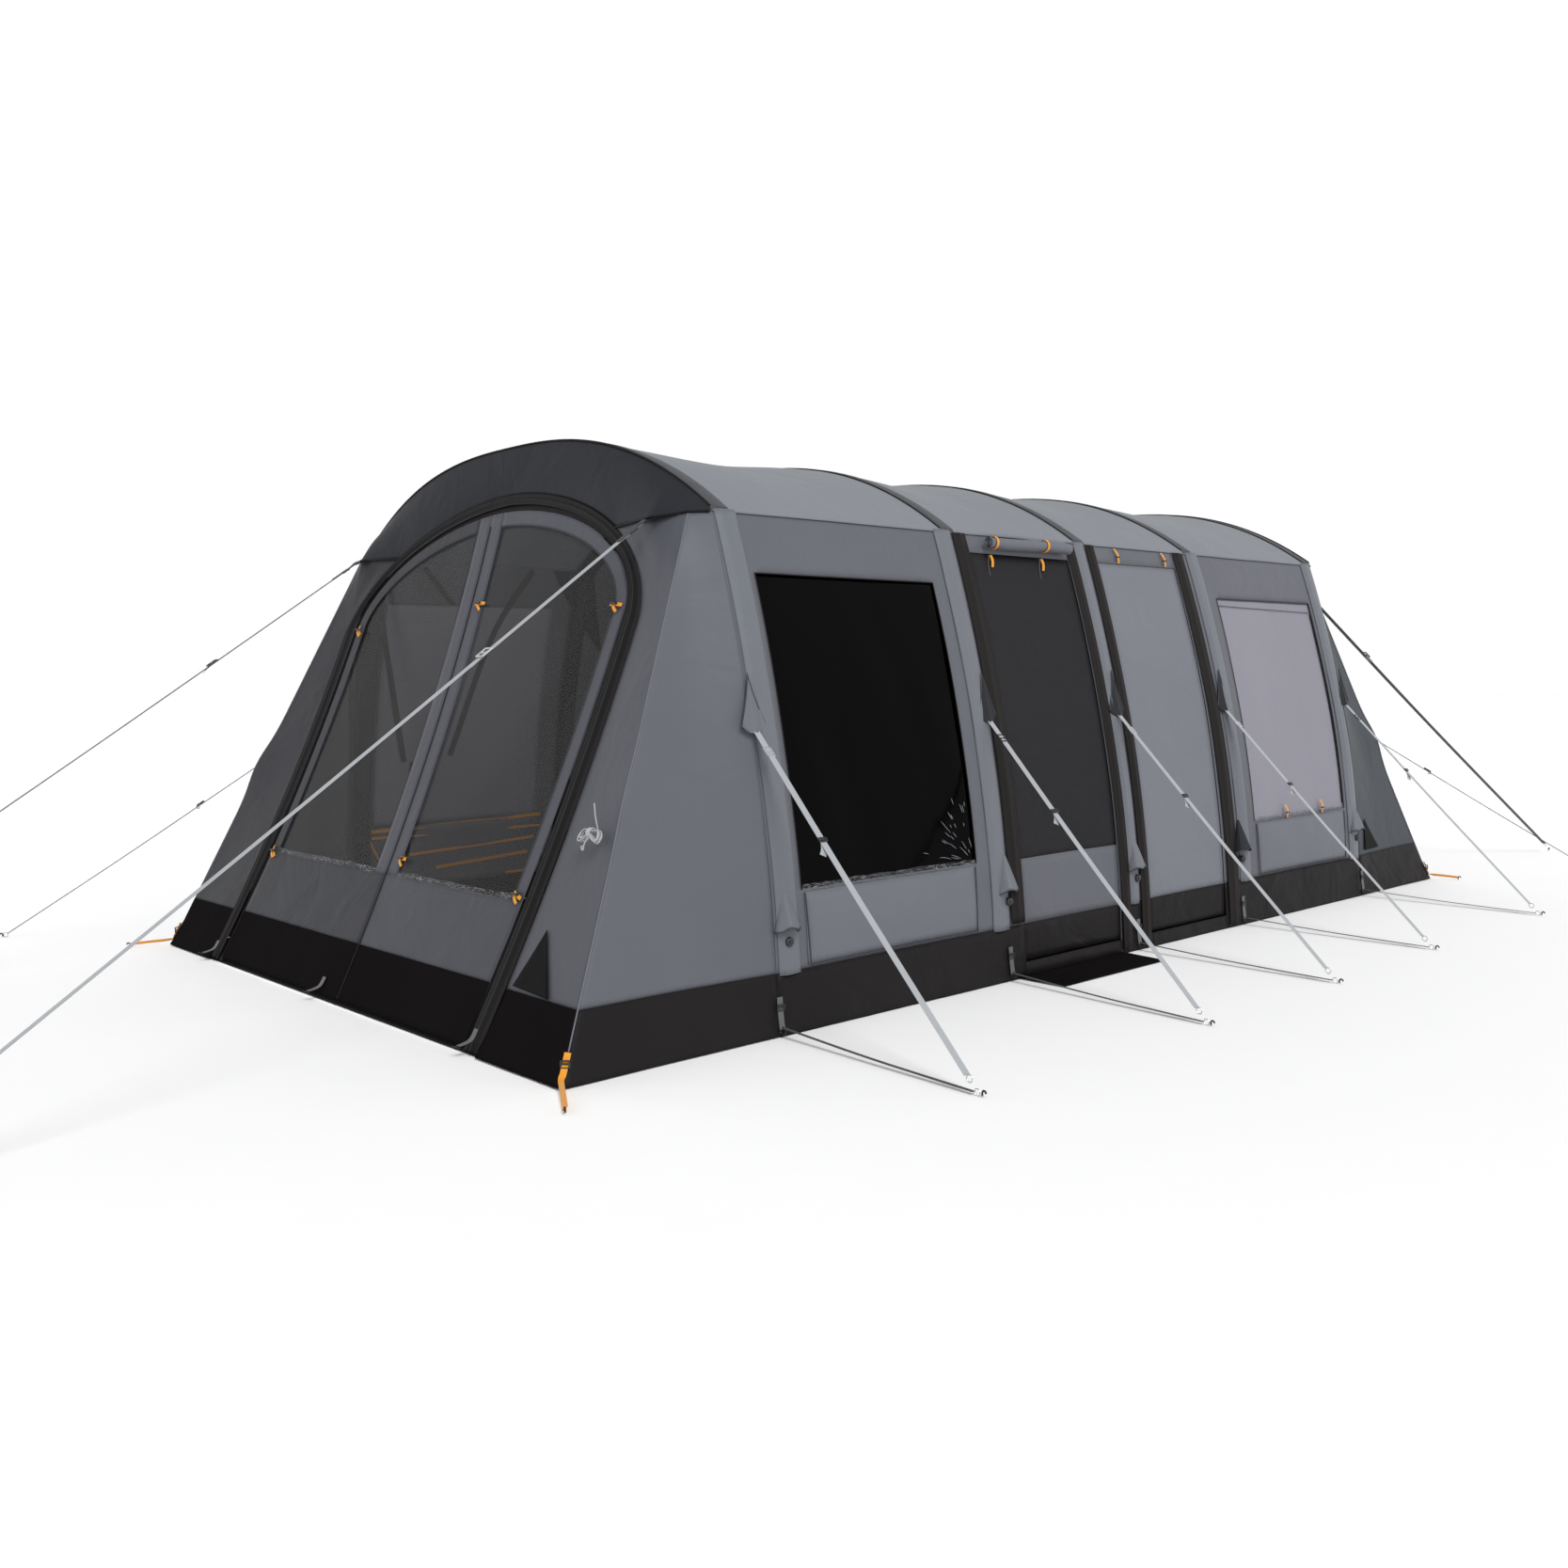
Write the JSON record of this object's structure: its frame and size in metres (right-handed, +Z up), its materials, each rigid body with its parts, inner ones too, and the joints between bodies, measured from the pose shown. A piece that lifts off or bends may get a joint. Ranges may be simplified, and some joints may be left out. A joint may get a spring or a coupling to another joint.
{
  "type": "inflatable tunnel tent",
  "caption": "Family tunnel tent on inflatable air beams, with porches, a windowed front door, a mesh side door, and taut straps and ropes to ground pegs.",
  "frame": {"origin": "centre of the footprint, on the ground, at the underside of the groundsheet", "axes": "+Z up, front door towards -Y, side door towards +X, tunnel along Y"},
  "size_m": [4.7971, 9.2338, 2.091],
  "materials": {
    "wall_fabric": "matte",
    "roof_fabric": "matte",
    "hood_fabric": "matte",
    "mesh_fabric": "matte",
    "inner_fabric": "matte",
    "groundsheet": "matte",
    "beam_sleeve": "matte",
    "clear_vinyl": "gloss",
    "valve_plastic": "satin",
    "webbing": "satin",
    "dark_webbing": "satin",
    "rope": "matte"
  },
  "bodies": {
    "tent": {"air_beam_1": "beam_sleeve", "air_beam_2": "beam_sleeve", "air_beam_3": "beam_sleeve", "air_beam_4": "beam_sleeve", "air_beam_5": "beam_sleeve", "corner_rope_hank": "rope", "corner_rope_left": "rope", "corner_rope_rear": "rope", "door_roll": "wall_fabric", "front_corner_left": "wall_fabric", "front_corner_right": "wall_fabric", "front_hood": "hood_fabric", "ground_strap_1": "dark_webbing", "ground_strap_2": "dark_webbing", "ground_strap_3": "dark_webbing", "ground_strap_4": "dark_webbing", "ground_strap_5": "dark_webbing", "groundsheet": "groundsheet", "hood_strap_left": "webbing", "hood_strap_right": "webbing", "inflation_valve_1": "valve_plastic", "inflation_valve_2": "valve_plastic", "inflation_valve_3": "valve_plastic", "inflation_valve_4": "valve_plastic", "inflation_valve_5": "valve_plastic", "inner_tent": "inner_fabric", "left_wall": "wall_fabric", "left_window_front": "clear_vinyl", "left_window_rear": "clear_vinyl", "rear_corner_left": "wall_fabric", "rear_corner_right": "wall_fabric", "rear_hood": "hood_fabric", "rear_strap_right": "webbing", "rear_wall": "wall_fabric", "right_wall_front": "wall_fabric", "right_wall_middle": "wall_fabric", "right_wall_rear": "wall_fabric", "right_window_front": "clear_vinyl", "right_window_rear": "clear_vinyl", "roof_bay_1": "roof_fabric", "roof_bay_2": "roof_fabric", "roof_bay_3": "roof_fabric", "roof_bay_4": "roof_fabric", "side_strap_1": "webbing", "side_strap_2": "webbing", "side_strap_3": "webbing", "side_strap_4": "webbing", "side_strap_5": "webbing"},
    "front_door_right": {"front_door_right": "wall_fabric", "front_window_right": "clear_vinyl"},
    "front_door_left": {"front_door_left": "wall_fabric", "front_window_left": "clear_vinyl"},
    "side_door": {"side_door": "mesh_fabric"},
    "side_panel": {"side_panel": "wall_fabric"},
    "valve_cover_1": {"valve_cover_1": "hood_fabric"},
    "valve_cover_2": {"valve_cover_2": "hood_fabric"},
    "valve_cover_3": {"valve_cover_3": "hood_fabric"},
    "valve_cover_4": {"valve_cover_4": "hood_fabric"},
    "valve_cover_5": {"valve_cover_5": "hood_fabric"},
    "step_mat": {"step_mat": "groundsheet"}
  },
  "joints": [
    {"name": "front_door_right_opens", "type": "hinge", "parent": "tent", "child": "front_door_right", "pos_m": [1, -2.908, 0], "axis": [0, 0.4295, 0.9031], "range_deg": [0, 65]},
    {"name": "front_door_left_opens", "type": "hinge", "parent": "tent", "child": "front_door_left", "pos_m": [-1, -2.908, 0], "axis": [0, -0.4295, -0.9031], "range_deg": [0, 65]},
    {"name": "side_door_opens", "type": "hinge", "parent": "tent", "child": "side_door", "pos_m": [1.28368, -0.4335, 1.66], "axis": [0, -1, 0], "range_deg": [0, 75]},
    {"name": "side_panel_opens", "type": "hinge", "parent": "tent", "child": "side_panel", "pos_m": [1.28368, 0.413, 1.66], "axis": [0, -1, 0], "range_deg": [0, 75]},
    {"name": "valve_cover_1_lifts", "type": "hinge", "parent": "tent", "child": "valve_cover_1", "pos_m": [1.54131, -2.012, 0.49], "axis": [0, -1, 0], "range_deg": [0, 90]},
    {"name": "valve_cover_2_lifts", "type": "hinge", "parent": "tent", "child": "valve_cover_2", "pos_m": [1.54131, -0.864, 0.49], "axis": [0, -1, 0], "range_deg": [0, 90]},
    {"name": "valve_cover_3_lifts", "type": "hinge", "parent": "tent", "child": "valve_cover_3", "pos_m": [1.54131, 0, 0.49], "axis": [0, -1, 0], "range_deg": [0, 90]},
    {"name": "valve_cover_4_lifts", "type": "hinge", "parent": "tent", "child": "valve_cover_4", "pos_m": [1.54131, 0.864, 0.49], "axis": [0, -1, 0], "range_deg": [0, 90]},
    {"name": "valve_cover_5_lifts", "type": "hinge", "parent": "tent", "child": "valve_cover_5", "pos_m": [1.54131, 2.012, 0.49], "axis": [0, -1, 0], "range_deg": [0, 90]},
    {"name": "step_mat_folds", "type": "hinge", "parent": "tent", "child": "step_mat", "pos_m": [1.571, -0.4635, 0.002], "axis": [0, -1, 0], "range_deg": [0, 85]}
  ]
}
